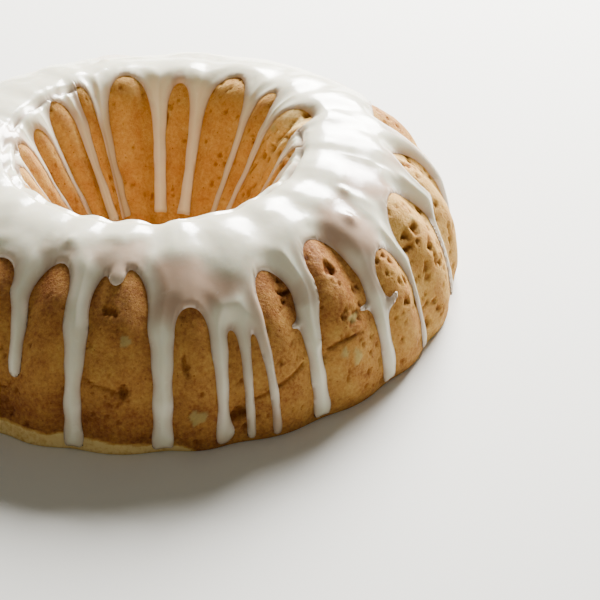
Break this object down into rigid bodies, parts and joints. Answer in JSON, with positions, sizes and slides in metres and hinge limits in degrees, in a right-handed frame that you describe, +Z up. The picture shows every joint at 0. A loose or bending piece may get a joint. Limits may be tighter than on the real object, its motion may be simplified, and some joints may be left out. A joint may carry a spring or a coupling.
{
  "type": "fluted ring pound cake",
  "caption": "Round pound cake baked in a fluted ring tin, with a hole through the middle and white poured icing that runs down both walls",
  "frame": {"origin": "Middle of the bounding box at the level of the flat base", "axes": "+Z up through the hole, the pictured front at -Y, +X to the right of that front"},
  "size_m": [0.2434, 0.2408, 0.0622],
  "materials": {
    "crust": "matte golden brown baked crust with small pits, paler at the foot",
    "icing": "glossy white poured sugar icing, thin and warmer at its edges"
  },
  "bodies": {
    "root": {"cake": "crust", "icing": "icing"}
  },
  "joints": []
}
